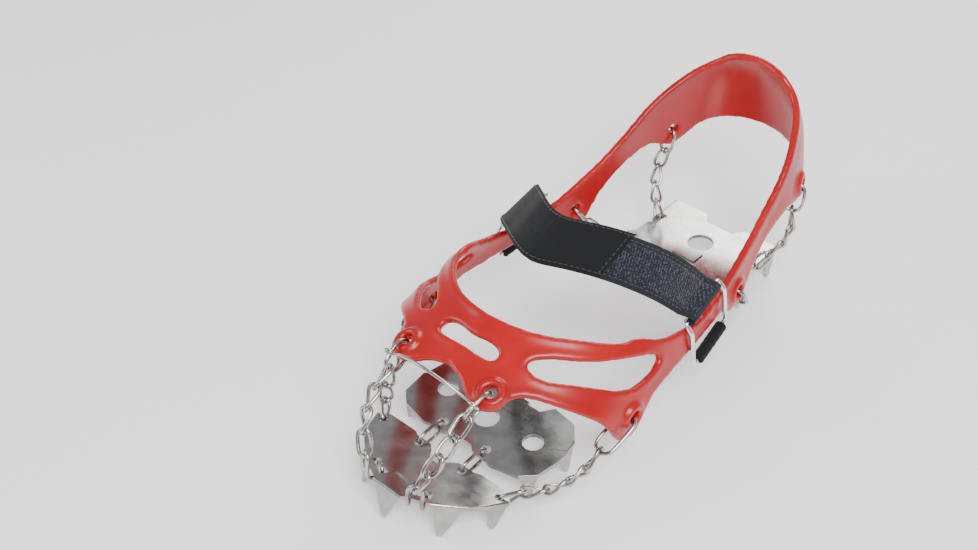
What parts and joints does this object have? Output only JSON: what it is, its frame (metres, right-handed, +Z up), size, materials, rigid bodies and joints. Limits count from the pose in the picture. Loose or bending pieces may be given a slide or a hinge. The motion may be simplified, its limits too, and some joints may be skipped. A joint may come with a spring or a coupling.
{
  "type": "shoe ice cleats",
  "caption": "Stretch harness for a shoe with spike plates hung on twisted wire chains, a toe bail, wire side buckles and a hook and loop instep strap.",
  "frame": {"origin": "centre of the bounding box at the spike tips", "axes": "toe towards -Y, heel towards +Y, the wearer's left at +X, +Z up"},
  "size_m": [0.1312, 0.2804, 0.108],
  "materials": {
    "red_elastomer": "glossy moulded elastomer",
    "chain_steel": "bright twisted wire",
    "plate_steel": "polished sheet",
    "buckle_steel": "bright bent wire",
    "black_webbing": "fine woven, matt",
    "loop_pile": "loop pile, matt"
  },
  "bodies": {
    "harness": {"harness": "red_elastomer", "strap_loop": "loop_pile"},
    "toe_connectors": {"toe_connector_left": "chain_steel", "toe_connector_right": "chain_steel"},
    "toe_links_1": {"toe_link_1_left": "chain_steel", "toe_link_1_right": "chain_steel"},
    "toe_links_2": {"toe_link_2_left": "chain_steel", "toe_link_2_right": "chain_steel"},
    "toe_links_3": {"toe_link_3_left": "chain_steel", "toe_link_3_right": "chain_steel"},
    "toe_links_4": {"toe_link_4_left": "chain_steel", "toe_link_4_right": "chain_steel"},
    "toe_clips": {"toe_clip_left": "chain_steel", "toe_clip_right": "chain_steel"},
    "toe_plate": {"toe_plate": "plate_steel"},
    "side_links_5": {"side_link_5_left": "chain_steel", "side_link_5_right": "chain_steel"},
    "side_links_4": {"side_link_4_left": "chain_steel", "side_link_4_right": "chain_steel"},
    "side_links_3": {"side_link_3_left": "chain_steel", "side_link_3_right": "chain_steel"},
    "side_links_2": {"side_link_2_left": "chain_steel", "side_link_2_right": "chain_steel"},
    "side_links_1": {"side_link_1_left": "chain_steel", "side_link_1_right": "chain_steel"},
    "side_connectors": {"side_connector_left": "chain_steel", "side_connector_right": "chain_steel"},
    "heel_connectors": {"heel_connector_left": "chain_steel", "heel_connector_right": "chain_steel"},
    "heel_links_1": {"heel_link_1_left": "chain_steel", "heel_link_1_right": "chain_steel"},
    "heel_links_2": {"heel_link_2_left": "chain_steel", "heel_link_2_right": "chain_steel"},
    "heel_links_3": {"heel_link_3_left": "chain_steel", "heel_link_3_right": "chain_steel"},
    "heel_links_4": {"heel_link_4_left": "chain_steel", "heel_link_4_right": "chain_steel"},
    "heel_plate": {"heel_plate": "plate_steel"},
    "arch_links_3": {"arch_link_3_left": "chain_steel", "arch_link_3_right": "chain_steel"},
    "arch_links_2": {"arch_link_2_left": "chain_steel", "arch_link_2_right": "chain_steel"},
    "arch_links_1": {"arch_link_1_left": "chain_steel", "arch_link_1_right": "chain_steel"},
    "arch_connectors": {"arch_connector_left": "chain_steel", "arch_connector_right": "chain_steel"},
    "bridge_links": {"bridge_link_left": "chain_steel", "bridge_link_right": "chain_steel"},
    "ball_plate": {"ball_plate": "plate_steel"},
    "toe_bail": {"toe_bail": "chain_steel"},
    "buckle_left": {"buckle_frame_left": "buckle_steel", "webbing_roll_left": "black_webbing"},
    "buckle_right": {"buckle_frame_right": "buckle_steel", "webbing_roll_right": "black_webbing"},
    "strap_hook": {"strap_hook": "black_webbing"}
  },
  "joints": [
    {"name": "toe_connector_hinge", "type": "hinge", "parent": "harness", "child": "toe_connectors", "pos_m": [0, -0.09526, 0.05917], "axis": [1, 0, 0], "range_deg": [0, 1.2]},
    {"name": "toe_link_1_hinge", "type": "hinge", "parent": "toe_connectors", "child": "toe_links_1", "pos_m": [0, -0.10828, 0.05426], "axis": [1, 0, 0], "range_deg": [-8.36, 0.76]},
    {"name": "toe_link_2_hinge", "type": "hinge", "parent": "toe_links_1", "child": "toe_links_2", "pos_m": [0, -0.11658, 0.04907], "axis": [1, 0, 0], "range_deg": [-0.2, 1.12]},
    {"name": "toe_link_3_hinge", "type": "hinge", "parent": "toe_links_2", "child": "toe_links_3", "pos_m": [0, -0.1237, 0.04244], "axis": [1, 0, 0], "range_deg": [-0.56, 6.2]},
    {"name": "toe_link_4_hinge", "type": "hinge", "parent": "toe_links_3", "child": "toe_links_4", "pos_m": [0, -0.1292, 0.03478], "axis": [1, 0, 0], "range_deg": [-0.62, 6.87]},
    {"name": "toe_clip_hinge", "type": "hinge", "parent": "toe_links_4", "child": "toe_clips", "pos_m": [0, -0.13276, 0.02654], "axis": [1, 0, 0], "range_deg": [-0.27, 2.99]},
    {"name": "toe_plate_hinge", "type": "hinge", "parent": "toe_clips", "child": "toe_plate", "pos_m": [0, -0.1329, 0.01793], "axis": [1, 0, 0], "range_deg": [-8.05, 0.73]},
    {"name": "side_link_5_hinge", "type": "hinge", "parent": "toe_plate", "child": "side_links_5", "pos_m": [0, -0.10466, 0.01024], "axis": [1, 0, 0], "range_deg": [-8.38, 0.76]},
    {"name": "side_link_4_hinge", "type": "hinge", "parent": "side_links_5", "child": "side_links_4", "pos_m": [0, -0.09746, 0.0136], "axis": [1, 0, 0], "range_deg": [-8.8, 0.8]},
    {"name": "side_link_3_hinge", "type": "hinge", "parent": "side_links_4", "child": "side_links_3", "pos_m": [0, -0.09047, 0.01368], "axis": [1, 0, 0], "range_deg": [-0.57, 6.23]},
    {"name": "side_link_2_hinge", "type": "hinge", "parent": "side_links_3", "child": "side_links_2", "pos_m": [0, -0.08254, 0.0159], "axis": [1, 0, 0], "range_deg": [-1.18, 12.95]},
    {"name": "side_link_1_hinge", "type": "hinge", "parent": "side_links_2", "child": "side_links_1", "pos_m": [0, -0.07432, 0.02007], "axis": [1, 0, 0], "range_deg": [-0.98, 10.81]},
    {"name": "side_connector_hinge", "type": "hinge", "parent": "harness", "child": "side_connectors", "pos_m": [0, -0.04832, 0.03401], "axis": [1, 0, 0], "range_deg": [-1.19, 0.2]},
    {"name": "heel_connector_hinge", "type": "hinge", "parent": "harness", "child": "heel_connectors", "pos_m": [0, 0.11057, 0.05935], "axis": [1, 0, 0], "range_deg": [0, 0.9]},
    {"name": "heel_link_1_hinge", "type": "hinge", "parent": "heel_connectors", "child": "heel_links_1", "pos_m": [0, 0.10734, 0.04627], "axis": [1, 0, 0], "range_deg": [-0.7, 7.73]},
    {"name": "heel_link_2_hinge", "type": "hinge", "parent": "heel_links_1", "child": "heel_links_2", "pos_m": [0, 0.10572, 0.03687], "axis": [1, 0, 0], "range_deg": [-9.33, 0.85]},
    {"name": "heel_link_3_hinge", "type": "hinge", "parent": "heel_links_2", "child": "heel_links_3", "pos_m": [0, 0.10197, 0.02792], "axis": [1, 0, 0], "range_deg": [-9.79, 0.89]},
    {"name": "heel_link_4_hinge", "type": "hinge", "parent": "heel_links_3", "child": "heel_links_4", "pos_m": [0, 0.09679, 0.02111], "axis": [1, 0, 0], "range_deg": [-0.59, 6.47]},
    {"name": "heel_plate_hinge", "type": "hinge", "parent": "heel_links_4", "child": "heel_plate", "pos_m": [0, 0.09384, 0.01316], "axis": [1, 0, 0], "range_deg": [-0.3, 3.27]},
    {"name": "arch_link_3_hinge", "type": "hinge", "parent": "heel_plate", "child": "arch_links_3", "pos_m": [0, 0.06956, 0.01383], "axis": [1, 0, 0], "range_deg": [-0.2, 2.18]},
    {"name": "arch_link_2_hinge", "type": "hinge", "parent": "arch_links_3", "child": "arch_links_2", "pos_m": [0, 0.06345, 0.01563], "axis": [1, 0, 0], "range_deg": [-0.2, 1.07]},
    {"name": "arch_link_1_hinge", "type": "hinge", "parent": "arch_links_2", "child": "arch_links_1", "pos_m": [0, 0.05705, 0.02011], "axis": [1, 0, 0], "range_deg": [-0.2, 0.391]},
    {"name": "arch_connector_hinge", "type": "hinge", "parent": "harness", "child": "arch_connectors", "pos_m": [0, 0.04342, 0.03961], "axis": [1, 0, 0], "range_deg": [-1.73, 0.2]},
    {"name": "bridge_link_hinge", "type": "hinge", "parent": "toe_plate", "child": "bridge_links", "pos_m": [0, -0.1052, 0.01123], "axis": [1, 0, 0], "range_deg": [-4, 4]},
    {"name": "ball_plate_hinge", "type": "hinge", "parent": "bridge_links", "child": "ball_plate", "pos_m": [0, -0.08986, 0.0124], "axis": [1, 0, 0], "range_deg": [-4, 8]},
    {"name": "toe_bail_hinge", "type": "hinge", "parent": "toe_connectors", "child": "toe_bail", "pos_m": [0, -0.10501, 0.06028], "axis": [1, 0, 0], "range_deg": [-35, 0]},
    {"name": "buckle_left_hinge", "type": "hinge", "parent": "harness", "child": "buckle_left", "pos_m": [0.05284, 0.01055, 0.05526], "axis": [-0.1283, 0.9766, 0.1725], "range_deg": [-30, 0]},
    {"name": "buckle_right_hinge", "type": "hinge", "parent": "harness", "child": "buckle_right", "pos_m": [-0.05284, 0.01055, 0.05526], "axis": [0.1283, 0.9766, 0.1725], "range_deg": [0, 30]},
    {"name": "strap_hook_hinge", "type": "hinge", "parent": "harness", "child": "strap_hook", "pos_m": [-0.05284, 0.01055, 0.05526], "axis": [0.1283, 0.9766, 0.1725], "range_deg": [-40, 0]}
  ],
  "couplings": [
    {"joint": "toe_link_1_hinge", "follows": "toe_connector_hinge", "ratio": -6.3362},
    {"joint": "toe_link_2_hinge", "follows": "toe_connector_hinge", "ratio": 0.77119},
    {"joint": "toe_link_3_hinge", "follows": "toe_connector_hinge", "ratio": 4.6959},
    {"joint": "toe_link_4_hinge", "follows": "toe_connector_hinge", "ratio": 5.2039},
    {"joint": "toe_clip_hinge", "follows": "toe_connector_hinge", "ratio": 2.265},
    {"joint": "toe_plate_hinge", "follows": "toe_connector_hinge", "ratio": -6.0999},
    {"joint": "side_link_5_hinge", "follows": "toe_connector_hinge", "ratio": -6.3489},
    {"joint": "side_link_4_hinge", "follows": "toe_connector_hinge", "ratio": -6.6653},
    {"joint": "side_link_3_hinge", "follows": "toe_connector_hinge", "ratio": 4.7174},
    {"joint": "side_link_2_hinge", "follows": "toe_connector_hinge", "ratio": 9.8087},
    {"joint": "side_link_1_hinge", "follows": "toe_connector_hinge", "ratio": 8.1921},
    {"joint": "side_connector_hinge", "follows": "toe_connector_hinge", "ratio": -0.82308},
    {"joint": "heel_link_1_hinge", "follows": "heel_connector_hinge", "ratio": 7.8113},
    {"joint": "heel_link_2_hinge", "follows": "heel_connector_hinge", "ratio": -9.4288},
    {"joint": "heel_link_3_hinge", "follows": "heel_connector_hinge", "ratio": -9.8841},
    {"joint": "heel_link_4_hinge", "follows": "heel_connector_hinge", "ratio": 6.5309},
    {"joint": "heel_plate_hinge", "follows": "heel_connector_hinge", "ratio": 3.304},
    {"joint": "arch_link_3_hinge", "follows": "heel_connector_hinge", "ratio": 2.1958},
    {"joint": "arch_link_2_hinge", "follows": "heel_connector_hinge", "ratio": 0.9691},
    {"joint": "arch_link_1_hinge", "follows": "heel_connector_hinge", "ratio": 0.21207},
    {"joint": "arch_connector_hinge", "follows": "heel_connector_hinge", "ratio": -1.6946}
  ]
}
